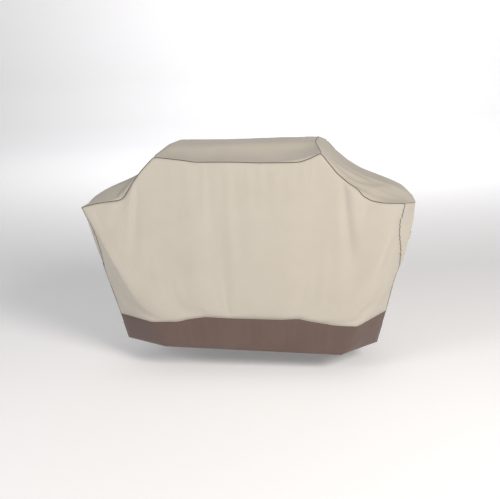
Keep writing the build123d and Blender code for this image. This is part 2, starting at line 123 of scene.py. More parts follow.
END_NORMAL = (0.967, 0.254)      # slope of the end's cloth in the frame
END_FOOT = 0.715
CAMERA_PLACE = (0.644, -4.213, 0.4342)
WORLD_STRENGTH, KEY_POWER, FILL_POWER, BACK_POWER = 0.23, 345, 115, 600
CORD_Y = 298.6
CORD_ROUTE = [
    (3.2, CORD_Y, -56), (3.2, CORD_Y, -20), (3.2, CORD_Y, 2), (6, CORD_Y, 14), (40, CORD_Y, 14),
    (450, CORD_Y, 14), (500, CORD_Y, 14), (540, 270, 14), (690, 150, 16), (706, 120, 16), (706, -110, 16),
    (690, -140, 16), (550, -265, 14), (505, -298, 10), (470, -298, 9), (0, -298, 20), (-430, -298, 46),
    (-470, -290, 44), (-640, -180, 30), (-706, -120, 28), (-706, 110, 20), (-690, 150, 18), (-540, 270, 14),
    (-500, CORD_Y, 14), (-450, CORD_Y, 14), (-40, CORD_Y, 14), (-6, CORD_Y, 14), (-3.2, CORD_Y, 2),
    (-3.2, CORD_Y, -20), (-3.2, CORD_Y, -56),
]
CASING_DEPTH, CASING_HEIGHT, CASING_LEAN, CASING_CUT = 0.0092, 0.028, 0.0005, 0.0382
PROBE = 0.05                 # how far to either side a sewn part looks for the cloth
BANDS_PER_METRE = 3.18       # bands that a wave texture draws in a metre at a scale of 1


# ---------------------------------------------------------------- helpers
def linear(text):
    """An sRGB hex colour as the linear colour that shaders take."""
    parts = [int(text[i:i + 2], 16) / 255 for i in (0, 2, 4)]
    return tuple(c / 12.92 if c <= 0.04045 else ((c + 0.055) / 1.055) ** 2.4 for c in parts) + (1.0,)


def smooth_step(low, high, value):
    share = min(max((value - low) / (high - low), 0.0), 1.0)
    return share * share * (3 - 2 * share)


def material(name, build):
    """The material of that name, made once by its build function."""
    made = bpy.data.materials.get(name)
    if made is None:
        made = bpy.data.materials.new(name)
        made.use_nodes = True
        build(made.node_tree)
    return made


def node(tree, kind, inputs=(), **settings):
    """Adds a node; each input is (socket, value) or (socket, the output that feeds it)."""
    made = tree.nodes.new(kind)
    for key, value in settings.items():
        setattr(made, key, value)
    for socket, value in dict(inputs).items():
        if isinstance(value, bpy.types.NodeSocket):
            tree.links.new(value, made.inputs[socket])
        else:
            made.inputs[socket].default_value = value
    return made


def piece(name, bm, body, made_of, replaces=(), smooth=True):
    """A finished piece from a bmesh, riding on its body."""
    mesh = bpy.data.meshes.new(name)
    bm.to_mesh(mesh)
    bm.free()
    for polygon in mesh.polygons:
        polygon.use_smooth = smooth
    mesh.materials.clear()
    mesh.materials.append(made_of)
    obj = bpy.data.objects.new(name, mesh)
    bpy.context.scene.collection.objects.link(obj)
    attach(obj, body)
    if replaces:
        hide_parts(*replaces)
    return obj


def modify(obj, kind, **settings):
    made = obj.modifiers.new(kind.title(), kind)
    for key, value in settings.items():
        setattr(made, key, value)
    return made


# ---------------------------------------------------------------- the draped skin
def mean_rows(a, b):
    return [tuple((p + q) / 2 for p, q in zip(x, y)) for x, y in zip(a, b)]


def drape_stations():
    """(y, right rows, left rows, column) of the four outlines the skin runs through."""
    back = [BACK_HEM] + mean_rows(RIGHT_DRAPE, LEFT_DRAPE)[1:]
    return [
        (-BACK_Y, RIGHT_DRAPE, LEFT_DRAPE, 0),
        (-STRIP_Y, RIGHT_DRAPE, LEFT_DRAPE, 2),
        (STRIP_Y, back, back, 2),
        (BACK_Y, back, back, 0),
    ]


def add_outline(bm, station):
    """The chain of vertices and edges of one outline, from the right hem to the left hem."""
    y, right, left, column = station
    rows = [(1, r) for r in right] + [(0, TOP_MIDDLE)] + [(-1, r) for r in reversed(left)]
    chain = [bm.verts.new((s * r[column] * MM, y, r[column + 1] * MM + HEM_Z)) for s, r in rows]
    return [bm.edges.new(pair) for pair in zip(chain, chain[1:])], chain


def gusset_panel(step, last):
    """The panel of the gusset that the step-th edge of an outline belongs to."""
    side = "right" if step < last / 2 else "left"
    row = min(step, last - step)
    if row >= TOP_ROW:
        return TOP
    if row >= TIP_ROW:
        return SHOULDER[side]
    return END[side] if row >= 1 else END_BAND[side]


def levels_from(faces, edges, count):
    """The faces within that many rows of the edges."""
    faces = set(faces)
    row = {f for e in edges for f in e.link_faces if f in faces}
    found = set(row)
    for _ in range(count - 1):
        row = {f for g in row for e in g.edges for f in e.link_faces if f in faces} - found
        found |= row
    return found


def rough_skin(spacing):
    """The skin as an even mesh of four-sided faces, tagged by panel, before it drapes."""
    bm = bmesh.new()
    stations = drape_stations()
    edges, chains = zip(*[add_outline(bm, s) for s in stations])
    for a, b in zip(edges, edges[1:]):
        bmesh.ops.bridge_loops(bm, edges=a + b)
    last = len(edges[0]) - 1
    cuts = []
    for step in range(last + 1):
        for face in {f for e in (c[step] for c in edges) for f in e.link_faces}:
            face.material_index = gusset_panel(step, last)
        row = min(step, last - step)
        longest = max((c[k].verts[0].co - c[k].verts[1].co).length
                      for c in edges for k in (row, last - row))
        cuts.append(max(1, round(longest / spacing)))
    corners = [[c[i].co.copy() for i in (TIP_ROW, -1 - TIP_ROW, 0, -1)] for c in chains]
    for step in range(last + 1):
        bmesh.ops.subdivide_edges(bm, edges=[c[step] for c in edges], cuts=cuts[step] - 1,
                                  use_grid_fill=True)
    across = [e for e in bm.edges if abs(e.verts[0].co.y - e.verts[1].co.y) > 0.01]
    for middle in (True, False):
        chosen = [e for e in across if (abs(e.verts[0].co.y + e.verts[1].co.y) < 0.1) == middle]
        width = 2 * STRIP_Y if middle else BACK_Y - STRIP_Y
        bmesh.ops.subdivide_edges(bm, edges=chosen, cuts=round(width / spacing) - 1, use_grid_fill=True)
    top_count = sum(cuts[TIP_ROW:last + 1 - TIP_ROW])
    for station, panel, band in ((0, FRONT, FRONT_BAND), (3, BACK, BACK_BAND)):
        y = stations[station][0]
        rim = [e for e in bm.edges if e.is_boundary and all(abs(v.co.y - y) < 1e-6 for v in e.verts)]
        ends = {v for e in rim for v in e.verts}
        tip_a, tip_b, hem_a, hem_b = (min(ends, key=lambda v: (v.co - c).length) for c in corners[station])
        top = walk(rim, tip_a, tip_b)
        hem = bm.edges.new((hem_a, hem_b))
        bmesh.ops.subdivide_edges(bm, edges=[hem], cuts=top_count - 1)
        hem = [e for e in bm.edges if e.is_wire]
        faces = bmesh.ops.grid_fill(bm, edges=top + hem)["faces"]
        for face in faces:
            face.material_index = panel
        for face in levels_from(faces, hem, cuts[0]):
            face.material_index = band
    return bm


def walk(edges, start, end):
    """The edges of a chain in order from start to end, kept away from the hem."""
    pool, at, path = set(edges), start, []
    edge = min((e for e in start.link_edges if e in pool),
               key=lambda e: e.other_vert(start).co.z < start.co.z - 0.01)
    while True:
        path.append(edge)
        at = edge.other_vert(at)
        if at is end:
            return path
        edge = next(e for e in at.link_edges if e in pool and e is not edge)


def split_end_seams(bm):
    """Cuts the slanted end seams and hands the cloth beyond them to the front and back panels."""
    run = BACK_Y - STRIP_Y
    for side, sign in SIDES.items():
        for facing in (-1, 1):
            rows = RIGHT_DRAPE if sign > 0 else LEFT_DRAPE
            tip_z = (rows if facing < 0 else mean_rows(RIGHT_DRAPE, LEFT_DRAPE))[TIP_ROW][1] * MM
            point = Vector((0, facing * BACK_Y, tip_z + HEM_Z))
            normal = Vector((0, -facing * (tip_z - SEAM_TURN_Z), run)).normalized()
            zone = [f for f in bm.faces if f.material_index in (END[side], END_BAND[side])
                    and facing * f.calc_center_median().y > STRIP_Y]
            inner = {v for f in zone for v in f.verts if STRIP_Y + 0.001 < facing * v.co.y < BACK_Y - 0.001}
            for vert in inner:
                off = (vert.co - point).dot(normal)
                if abs(off) < 0.0055:
                    vert.co -= normal * off
            geom = set(zone) | {e for f in zone for e in f.edges} | {v for f in zone for v in f.verts}
            bmesh.ops.bisect_plane(bm, geom=list(geom), dist=0.0008, plane_co=point, plane_no=normal)
            for face in bm.faces:
                centre = face.calc_center_median()
                if face.material_index in (END[side], END_BAND[side]) and facing * centre.y > STRIP_Y:
                    if (centre - point).dot(normal) < 0:
                        band = face.material_index == END_BAND[side]
                        pair = (FRONT, FRONT_BAND) if facing < 0 else (BACK, BACK_BAND)
                        face.material_index = pair[band]


def is_seam(edge):
    faces = edge.link_faces
    return len(faces) != 2 or faces[0].material_index != faces[1].material_index


def drape(bm):
    """Lets the cloth sag and wrinkle between its seams, which hold their places."""
    mesh = bpy.data.meshes.new("drape")
    bm.to_mesh(mesh)
    bm.free()
    obj = bpy.data.objects.new("drape", mesh)
    bpy.context.scene.collection.objects.link(obj)
    bm = bmesh.new()
    bm.from_mesh(mesh)
    held = {v.index for e in bm.edges if is_seam(e) for v in e.verts}
    shelf = {v.index for v in bm.verts if rests(v.co)}
    sewn = {v.index for v in bm.verts if under_hardware(v.co)}
    bm.free()
    group = obj.vertex_groups.new(name="held")
    group.add([v.index for v in mesh.vertices], 0.0, "REPLACE")
    group.add(list(shelf), 0.35, "REPLACE")
    group.add(list(held | sewn), 1.0, "REPLACE")
    cloth = obj.modifiers.new("Cloth", "CLOTH")
    settings = cloth.settings
    settings.quality = 5
    settings.mass = 0.3
    settings.tension_stiffness = 20
    settings.compression_stiffness = 12
    settings.shear_stiffness = 8
    settings.bending_stiffness = 3.0
    settings.vertex_group_mass = "held"
    settings.shrink_min = -0.005
    settings.shrink_max = -0.005
    settings.effector_weights.gravity = 0.5
    settings.use_pressure = True
    settings.uniform_pressure_force = 0.4
    cloth.collision_settings.use_collision = False
    cloth.point_cache.frame_start = 1
    cloth.point_cache.frame_end = DRAPE_FRAMES
    for frame_number in range(1, DRAPE_FRAMES + 1):
        bpy.context.scene.frame_set(frame_number)
    draped = bpy.data.meshes.new_from_object(obj.evaluated_get(bpy.context.evaluated_depsgraph_get()))
    bpy.data.objects.remove(obj)
    bpy.context.scene.frame_set(1)
    bm = bmesh.new()
    bm.from_mesh(draped)
    bpy.data.meshes.remove(draped)
    bpy.data.meshes.remove(mesh)
    return bm


def rests(point):
    """True where the cloth lies on the grill's shelves and on the crest of its hood."""
    height = point.z - HEM_Z
    return height > 1.12 or (0.68 < abs(point.x) < 0.88 and 0.8 < height < 0.9)


def under_hardware(point):
    """True where handles, leg straps, vents and the drawcord's end are sewn on."""
    height = point.z - HEM_Z
    on_end = abs(point.y) < STRIP_Y + 0.01 and abs(point.x) > 0.7
    vent = point.y > BACK_Y - 0.02 and 0.18 < abs(point.x) < 0.42 and 0.86 < height < 1.0
    cord = point.y > BACK_Y - 0.02 and abs(point.x) < 0.05 and height < 0.05
    return (on_end and (height < 0.12 or 0.55 < height < 0.65)) or vent or cord


def crease(point, start, end, width, depth):
    """Height of a soft fold along a line from start to end, in the plane of the front."""
    flat = Vector((point.x, point.z - HEM_Z))
    a, b = Vector(start) * MM, Vector(end) * MM
    run = b - a
    share = min(max((flat - a).dot(run) / run.length_squared, 0.0), 1.0)
    off = (flat - a - run * share).length / (width * MM * (0.4 + 0.6 * share))
    fade = math.sin(math.pi * min(share * 0.92 + 0.08, 1.0)) ** 0.6
    return depth * MM * fade * math.exp(-off * off)


def add_folds(bm):
    """Gives the cloth its broad folds, out from the notches and corners, and a soft unevenness."""
    for vert in bm.verts:
        front = smooth_step(-STRIP_Y, -BACK_Y, vert.co.y)
        rear = smooth_step(STRIP_Y, BACK_Y, vert.co.y)
        lift = 0.0
        if front > 0.99 or rear > 0.99:
            for fold in FRONT_FOLDS if front > 0.99 else BACK_FOLDS:
                lift += crease(vert.co, *fold)
            lift += 0.004 * noise.noise(Vector((vert.co.x * 2.6, 3 * vert.co.y, vert.co.z * 1.9)))
            slant = Vector((vert.co.x * 9 + vert.co.z * 4, vert.co.y, vert.co.z * 5 + 7))
            lift += 0.0022 * noise.noise(slant)
            sign = -1 if front > 0.99 else 1
            seam = any(is_seam(e) for e in vert.link_edges)
            vert.co.y += 0.0 if seam else sign * lift
        elif not any(is_seam(e) for e in vert.link_edges) and not under_hardware(vert.co):
            bump = noise.noise(Vector((vert.co.x * 3, vert.co.y * 5, vert.co.z * 3)))
            fine = noise.noise(Vector((vert.co.x * 11, vert.co.y * 14 + 3, vert.co.z * 11)))
            vert.co += vert.normal * (0.0035 * bump + 0.0015 * fine)
    bm.normal_update()


def make_skin():
    """The draped skin of the whole cover."""
    bm = rough_skin(sizes().cloth_spacing)
    bmesh.ops.recalc_face_normals(bm, faces=bm.faces[:])
    free = [v for v in bm.verts if not any(len(e.link_faces) != 2 for e in v.link_edges)
            and not under_hardware(v.co)]
    for _ in range(5):
        bmesh.ops.smooth_vert(bm, verts=free, factor=0.5, use_axis_x=True, use_axis_y=True, use_axis_z=True)
    inner = [v for v in free if not any(is_seam(e) for e in v.link_edges)]
    for _ in range(12):
        bmesh.ops.smooth_vert(bm, verts=inner, factor=0.5, use_axis_x=True, use_axis_y=True,
                              use_axis_z=True)
    split_end_seams(bm)
    bm.normal_update()
    uv_flat(bm)
    add_folds(bm)
    bm = drape(bm)
    inner = [v for v in bm.verts if not any(is_seam(e) for e in v.link_edges)]
    bmesh.ops.smooth_vert(bm, verts=inner, factor=0.4, use_axis_x=True, use_axis_y=True,
                          use_axis_z=True)
    return bm


def uv_flat(bm):
    """UV in metres of cloth, by the direction a panel faces."""
    uv = bm.loops.layers.uv.new("Weave")
    for face in bm.faces:
        panel = face.material_index
        flat_on = abs(face.normal.y) > 0.9
        for loop in face.loops:
            co = loop.vert.co
            if flat_on or panel in (FRONT, BACK, FRONT_BAND, BACK_BAND) and abs(face.normal.x) < 0.5:
                loop[uv].uv = (co.x, co.z)
            elif abs(face.normal.x) > abs(face.normal.z):
                loop[uv].uv = (co.y, co.z)
            else:
                loop[uv].uv = (co.y, co.x)


def cut_out(skin, number):
    """A copy of one panel of the skin."""
    bm = skin.copy()
    bmesh.ops.delete(bm, geom=[f for f in bm.faces if f.material_index != number], context="FACES")
    for face in bm.faces:
        face.material_index = 0
    return bm


# ---------------------------------------------------------------- materials
def woven(tree, base, thread, rough, sheen, tint, uneven):
    """Woven polyester: crossed threads in relief, slightly uneven dye, matt with a faint sheen."""
    tree.nodes.clear()
    uv = node(tree, "ShaderNodeUVMap", uv_map="Weave").outputs["UV"]
    place = node(tree, "ShaderNodeTexCoord").outputs["Object"]
    threads = {"Vector": uv, "Scale": 1 / thread / BANDS_PER_METRE, "Distortion": 0.6, "Detail": 1.0}
    warp = node(tree, "ShaderNodeTexWave", threads, bands_direction="X")
    weft = node(tree, "ShaderNodeTexWave", threads, bands_direction="Y")
    cross = node(tree, "ShaderNodeMath", {0: warp.outputs["Fac"], 1: weft.outputs["Fac"]},
                 operation="MULTIPLY")
    slub = node(tree, "ShaderNodeTexNoise", {"Vector": place, "Scale": 7.0, "Detail": 4.0, "Roughness": 0.6})
    grain = node(tree, "ShaderNodeTexNoise", {"Vector": place, "Scale": 160.0, "Detail": 3.0})
    mixed = node(tree, "ShaderNodeMath", {0: slub.outputs["Fac"], 1: uneven}, operation="MULTIPLY")
    fleck = node(tree, "ShaderNodeMath", {0: grain.outputs["Fac"], 1: 0.35, 2: mixed.outputs[0]},
                 operation="MULTIPLY_ADD")
    share = node(tree, "ShaderNodeMath", {0: cross.outputs[0], 1: -0.12, 2: fleck.outputs[0]},
                 operation="MULTIPLY_ADD", use_clamp=True)
    colour = node(tree, "ShaderNodeMix", {0: share.outputs[0], 6: base, 7: tint}, data_type="RGBA")
    relief = node(tree, "ShaderNodeMath", {0: grain.outputs["Fac"], 1: 0.5, 2: cross.outputs[0]},
                  operation="MULTIPLY_ADD")
    bump = node(tree, "ShaderNodeBump", {"Height": relief.outputs[0], "Strength": 0.25, "Distance": 0.0004})
    shader = node(tree, "ShaderNodeBsdfPrincipled", {
        "Base Color": colour.outputs[2], "Roughness": rough, "Sheen Weight": sheen, "Normal": bump.outputs[0],
        "Specular IOR Level": 0.3})
    node(tree, "ShaderNodeOutputMaterial", {"Surface": shader.outputs[0]})


def cover_cloth(tree):
    """Solution-dyed polyester canvas with a coated back: pale, matt, plain weave of 1 mm threads,
    drawn at 2 mm so that it shows."""
    woven(tree, tuple(finish().cloth), 0.002, 0.82, 0.15, tuple(finish().cloth_shade), 0.5)


def band_cloth(tree):
    """Darker and heavier polyester duck for the hem band, with a coarser weave."""
    woven(tree, tuple(finish().band), 0.0024, 0.78, 0.2, tuple(finish().band_shade), 0.6)


def binding_tape(tree):
    """Woven polyester tape folded over a seam: fine ribs across it, dark and matt."""
    tape(tree, tuple(finish().binding), 0.0016, 0.7)


def webbing_tape(tree):
    """Polypropylene webbing: thick ribs every 2 mm, with a slight gloss on each yarn."""
    tape(tree, tuple(finish().webbing), 0.002, 0.55)


def tape(tree, base, rib, rough):
    tree.nodes.clear()
    place = node(tree, "ShaderNodeTexCoord").outputs["Object"]
    ribs = node(tree, "ShaderNodeTexWave", {
        "Vector": place, "Scale": 1 / rib / BANDS_PER_METRE, "Distortion": 1.0}, bands_direction="DIAGONAL")
    tone = node(tree, "ShaderNodeTexNoise", {"Vector": place, "Scale": 90.0, "Detail": 3.0})
    light = tuple(min(1.0, c * 1.5 + 0.01) for c in base[:3]) + (1.0,)
    colour = node(tree, "ShaderNodeMix", {0: tone.outputs["Fac"], 6: base, 7: light}, data_type="RGBA")
    bump = node(tree, "ShaderNodeBump", {"Height": ribs.outputs["Fac"], "Strength": 0.5, "Distance": 0.0004})
    shader = node(tree, "ShaderNodeBsdfPrincipled", {
        "Base Color": colour.outputs[2], "Roughness": rough, "Sheen Weight": 0.1, "Normal": bump.outputs[0]})
    node(tree, "ShaderNodeOutputMaterial", {"Surface": shader.outputs[0]})


def netting(tree):
    """Knitted polyester netting with holes of 3 mm: black, seen through only at the holes."""
    tree.nodes.clear()
    place = node(tree, "ShaderNodeTexCoord").outputs["Object"]
    cells = node(tree, "ShaderNodeTexVoronoi", {"Vector": place, "Scale": 330.0, "Randomness": 0.0},
                 feature="DISTANCE_TO_EDGE")
    thread = node(tree, "ShaderNodeMath", {0: cells.outputs["Distance"], 1: 0.16}, operation="LESS_THAN")
    shader = node(tree, "ShaderNodeBsdfPrincipled", {
        "Base Color": linear("16161a"), "Roughness": 0.6, "Alpha": thread.outputs[0]})
    node(tree, "ShaderNodeOutputMaterial", {"Surface": shader.outputs[0]})


def moulded_plastic(tree):
    """Injection moulded acetal for the buckles and the cord lock: black, fine spark texture."""
    tree.nodes.clear()
    place = node(tree, "ShaderNodeTexCoord").outputs["Object"]
    spark = node(tree, "ShaderNodeTexNoise", {"Vector": place, "Scale": 1500.0, "Detail": 2.0})
    wear = node(tree, "ShaderNodeTexNoise", {"Vector": place, "Scale": 60.0, "Detail": 3.0})
    rough = node(tree, "ShaderNodeMapRange", {"Value": wear.outputs["Fac"], "To Min": 0.38, "To Max": 0.52})
    bump = node(tree, "ShaderNodeBump", {
        "Height": spark.outputs["Fac"], "Strength": 0.15, "Distance": 0.0001})
    shader = node(tree, "ShaderNodeBsdfPrincipled", {
        "Base Color": linear("1c1c1e"), "Roughness": rough.outputs[0], "IOR": 1.48,
        "Normal": bump.outputs[0]})
    node(tree, "ShaderNodeOutputMaterial", {"Surface": shader.outputs[0]})


def plated_metal(tree, base, rough_low, rough_high):
    tree.nodes.clear()
    place = node(tree, "ShaderNodeTexCoord").outputs["Object"]
    haze = node(tree, "ShaderNodeTexNoise", {"Vector": place, "Scale": 240.0, "Detail": 4.0})
    rough = node(tree, "ShaderNodeMapRange", {
        "Value": haze.outputs["Fac"], "To Min": rough_low, "To Max": rough_high})
    shader = node(tree, "ShaderNodeBsdfPrincipled", {
        "Base Color": linear(base), "Metallic": 1.0, "Roughness": rough.outputs[0]})
    node(tree, "ShaderNodeOutputMaterial", {"Surface": shader.outputs[0]})


def pressed_brass(tree):
    """Pressed brass of the grommet, a little dulled by handling."""
    plated_metal(tree, "b08d4f", 0.25, 0.42)


def spring_steel(tree):
    """Bright drawn spring wire."""
    plated_metal(tree, "a9abb0", 0.2, 0.35)


def braided_cord(tree):
    """Braided polyester cord of 4 mm: crossed strands about 1 mm wide."""
    tree.nodes.clear()
    place = node(tree, "ShaderNodeTexCoord").outputs["Object"]
    strands = node(tree, "ShaderNodeTexVoronoi", {"Vector": place, "Scale": 900.0})
    bump = node(tree, "ShaderNodeBump", {
        "Height": strands.outputs["Distance"], "Strength": 0.6, "Distance": 0.0005})
    shader = node(tree, "ShaderNodeBsdfPrincipled", {
        "Base Color": linear("3a332f"), "Roughness": 0.75, "Sheen Weight": 0.2, "Normal": bump.outputs[0]})
    node(tree, "ShaderNodeOutputMaterial", {"Surface": shader.outputs[0]})


def seamless_paper(tree):
    """White seamless background paper, matt."""
    tree.nodes.clear()
    shader = node(tree, "ShaderNodeBsdfPrincipled", {"Base Color": linear("f4f3f5"), "Roughness": 0.95,
                                                      "Specular IOR Level": 0.1,
                                                      "Emission Color": linear("ffffff"),
                                                      "Emission Strength": 0.17})
    node(tree, "ShaderNodeOutputMaterial", {"Surface": shader.outputs[0]})


# ---------------------------------------------------------------- pieces
SKIN = {}


def skin():
    if "mesh" not in SKIN:
        SKIN["mesh"] = make_skin()
        SKIN["tree"] = BVHTree.FromBMesh(SKIN["mesh"])
    return SKIN["mesh"]


def panel_pieces():
    for number, name in enumerate(PANEL_NAMES):
        bm = cut_out(skin(), number)
        band = number >= FRONT_BAND
        area = sum(f.calc_area() for f in bm.faces)
        kind = ("Polyester duck", band_cloth) if band else ("Polyester canvas", cover_cloth)
        obj = piece(name + "_cloth", bm, BODY,
                    material(*kind), [name])
        modify(obj, "SOLIDIFY", thickness=CLOTH, offset=-1.0)


def seam_chains(bm, wanted):
    """Lists of points along the seams whose two panels are wanted, each a chain."""
    left = {e for e in bm.edges if len(e.link_faces) == 2
            and wanted(*sorted(f.material_index for f in e.link_faces))}
    chains = []
    while left:
        edge = next((e for e in left if any(sum(x in left for x in v.link_edges) == 1 for v in e.verts)),
                    next(iter(left)))
        at = next((v for v in edge.verts if sum(x in left for x in v.link_edges) == 1), edge.verts[0])
        points = [at.co.copy()]
        while edge:
            left.discard(edge)
            at = edge.other_vert(at)
            points.append(at.co.copy())
            edge = next((e for e in at.link_edges if e in left), None)
        chains.append(points)
    return [c for c in chains if len(c) > 2]


def piping(name, chains, radius, replaces=()):
    """A round piped edge along chains of points, as one mesh tube piece."""
    curve = bpy.data.curves.new(name, "CURVE")
    curve.dimensions = "3D"
    curve.bevel_depth = radius
    curve.bevel_resolution = 2
    curve.use_fill_caps = True
    for points in chains:
        spline = curve.splines.new("POLY")
        spline.points.add(len(points) - 1)
        for target, point in zip(spline.points, points):
            target.co = (*point, 1.0)
    obj = bpy.data.objects.new(name, curve)
    bpy.context.scene.collection.objects.link(obj)
    mesh = bpy.data.meshes.new_from_object(obj)
    bpy.data.objects.remove(obj)
    bm = bmesh.new()
    bm.from_mesh(mesh)
    bpy.data.meshes.remove(mesh)
    return piece(name, bm, BODY, material("Binding tape", binding_tape), replaces)


def seam_pieces():
    front_like, back_like = (FRONT, FRONT_BAND), (BACK, BACK_BAND)
    gusset = (TOP, *SHOULDER.values(), *END.values(), *END_BAND.values())
    for name, like in (("front", front_like), ("back", back_like)):
        chains = seam_chains(skin(), lambda a, b: (a in like and b in gusset) or (b in like and a in gusset))
        piping(name + "_seam_piping", chains, sizes().piping_radius, [name + "_seam_binding"])
    bands = (FRONT_BAND, BACK_BAND, *END_BAND.values())
    lines = seam_chains(skin(), lambda a, b: a not in bands and b in bands)
    roll = piping("band_seam_roll", lines, sizes().band_roll_radius)
    roll.material_slots[0].material = material("Polyester canvas", cover_cloth)
    cross = seam_chains(skin(), lambda a, b: a != b and a in gusset and b in gusset
                        and a not in bands and b not in bands)
    piping("gusset_cross_seams", cross, sizes().cross_seam_radius)


def casing_piece():
    """The hem's casing: the band's edge turned in and up, where the drawcord runs."""
    bm = skin().copy()
    rim = [e for e in bm.edges if e.is_boundary]
    normals = {v: v.normal.copy() for e in rim for v in e.verts}
    keep = set(rim)
    bmesh.ops.delete(bm, geom=[f for f in bm.faces], context="FACES_ONLY")
    bmesh.ops.delete(bm, geom=[e for e in bm.edges if e not in keep], context="EDGES")
    bmesh.ops.delete(bm, geom=[v for v in bm.verts if not v.link_edges], context="VERTS")
    inward = {v: -Vector((normals[v].x, normals[v].y, 0)).normalized() for v in bm.verts}
    for vert in bm.verts:
        vert.co += inward[vert] * CLOTH
    edges = bm.edges[:]
    by_place = {tuple(round(c, 6) for c in v.co): inward[v] for v in bm.verts}
    for across, up in ((CASING_DEPTH, 0.0), (-CASING_LEAN, CASING_HEIGHT)):
        made = bmesh.ops.extrude_edge_only(bm, edges=edges)["geom"]
        verts = [g for g in made if isinstance(g, bmesh.types.BMVert)]
        edges = [g for g in made if isinstance(g, bmesh.types.BMEdge)]
        moved = {}
        for vert in verts:
            way = by_place[tuple(round(c, 6) for c in vert.co)]
            vert.co += way * across + Vector((0, 0, up))
            moved[tuple(round(c, 6) for c in vert.co)] = way
        by_place = moved
    bmesh.ops.recalc_face_normals(bm, faces=bm.faces[:])
    area = sum(f.calc_area() for f in bm.faces)
    obj = piece("hem_casing_fold", bm, BODY, material("Polyester duck", band_cloth),
                ["hem_casing"])
    modify(obj, "SOLIDIFY", thickness=CLOTH, offset=1.0)


def cad_copy(name, conform=None):
    """A merged copy of a CAD part, moved onto the draped cloth where it is sewn on."""
    bm = bmesh.new()
    bm.from_mesh(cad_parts[name].data)
    bmesh.ops.remove_doubles(bm, verts=bm.verts, dist=0.00002)
    bmesh.ops.dissolve_limit(bm, angle_limit=math.radians(2), verts=bm.verts, edges=bm.edges)
    if conform:
        skin()
        for vert in bm.verts:
            start = vert.co - conform * PROBE
            hit = SKIN["tree"].ray_cast(start, conform, 2 * PROBE)[0]
            base = plane_offset(vert.co, conform)
            if hit is not None:
                vert.co += conform * ((hit - start).dot(conform) - PROBE - base)
    return bm


def plane_offset(point, way):
    """How far inside the CAD cloth plane a point lies, along way."""
    if abs(way.y) > 0.5:
        return BACK_Y - point.y
    side = math.copysign(1, point.x)
    normal = Vector((side * END_NORMAL[0], 0, -END_NORMAL[1]))
    foot = Vector((side * END_FOOT, 0, HEM_Z))
    return (foot - point).dot(normal) / way.dot(normal)


def sewn_parts():
    """Handles, straps and vent hoods, sewn on where the frame has them."""
    kinds = {"webbing": ("Polypropylene webbing", webbing_tape),
             "cover_cloth": ("Stitched canvas", patch_cloth), "vent_mesh": ("Knitted netting", netting)}
    for side, sign in SIDES.items():
        out = Vector((sign, 0, 0))
        for part, slot_name, way in (
            ("handle_webbing", "cover_cloth", out), ("handle_patches", "cover_cloth", out),
            ("strap_patches", "cover_cloth", None), ("socket_webbing", "webbing", None),
            ("vent_hood", "cover_cloth", None), ("vent_mesh", "vent_mesh", None),
        ):
            name = f"{side}_{part}"
            obj = piece(name + "_sewn", cad_copy(name, way), BODY, material(*kinds[slot_name]),
                        [name], smooth=False)
            modify(obj, "BEVEL", width=0.0004, segments=2, profile=0.5, limit_method="ANGLE")
        grip = piece(f"{side}_handle_grip_sleeve", cad_copy(f"{side}_handle_grip", out), BODY,
                     material("Stitched canvas", patch_cloth), [f"{side}_handle_grip"])
        modify(grip, "BEVEL", width=0.002, segments=3, profile=0.5, limit_method="ANGLE")
        name = f"{side}_insert_webbing"
        obj = piece(name + "_sewn", cad_copy(name), BODY,
                    material("Polypropylene webbing", webbing_tape), [name], smooth=False)
        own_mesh(obj)


def patch_cloth(tree):
    """The cover's own canvas, cut small and seen flat, so its threads follow the piece."""
    tree.nodes.clear()
    place = node(tree, "ShaderNodeTexCoord").outputs["Object"]
    warp = node(tree, "ShaderNodeTexWave", {"Vector": place, "Scale": 157.0, "Distortion": 0.6},
                bands_direction="Z")
    tone = node(tree, "ShaderNodeTexNoise", {"Vector": place, "Scale": 120.0, "Detail": 3.0})
    colour = node(tree, "ShaderNodeMix", {0: tone.outputs["Fac"], 6: tuple(finish().cloth),
                                          7: tuple(finish().cloth_shade)}, data_type="RGBA")
    bump = node(tree, "ShaderNodeBump", {"Height": warp.outputs["Fac"], "Strength": 0.25, "Distance": 0.0004})
    shader = node(tree, "ShaderNodeBsdfPrincipled", {
        "Base Color": colour.outputs[2], "Roughness": 0.82, "Sheen Weight": 0.15, "Normal": bump.outputs[0]})
    node(tree, "ShaderNodeOutputMaterial", {"Surface": shader.outputs[0]})


def hardware_finish():
    """Finishes for the hard parts, which keep the frame's own shapes."""
    spring = piece("cord_lock_coil", cad_copy("cord_lock_spring"), "lock",
                   material("Spring wire", spring_steel), ["cord_lock_spring"])
    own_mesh(spring)
    finishes = {"cord_lock_barrel": 0, "cord_lock_plunger": 0, "cord_end_bell": 0, "drawcord_grommet": 1}
    finishes.update({f"{side}_buckle_{half}": 0 for side in SIDES for half in ("socket", "insert")})
    kinds = [("Moulded acetal", moulded_plastic), ("Pressed brass", pressed_brass)]
    for name, kind in finishes.items():
        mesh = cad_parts[name].data
        made_of = material(*kinds[kind])
        if mesh.materials:
            for i in range(len(mesh.materials)):
                mesh.materials[i] = made_of
        else:
            mesh.materials.append(made_of)


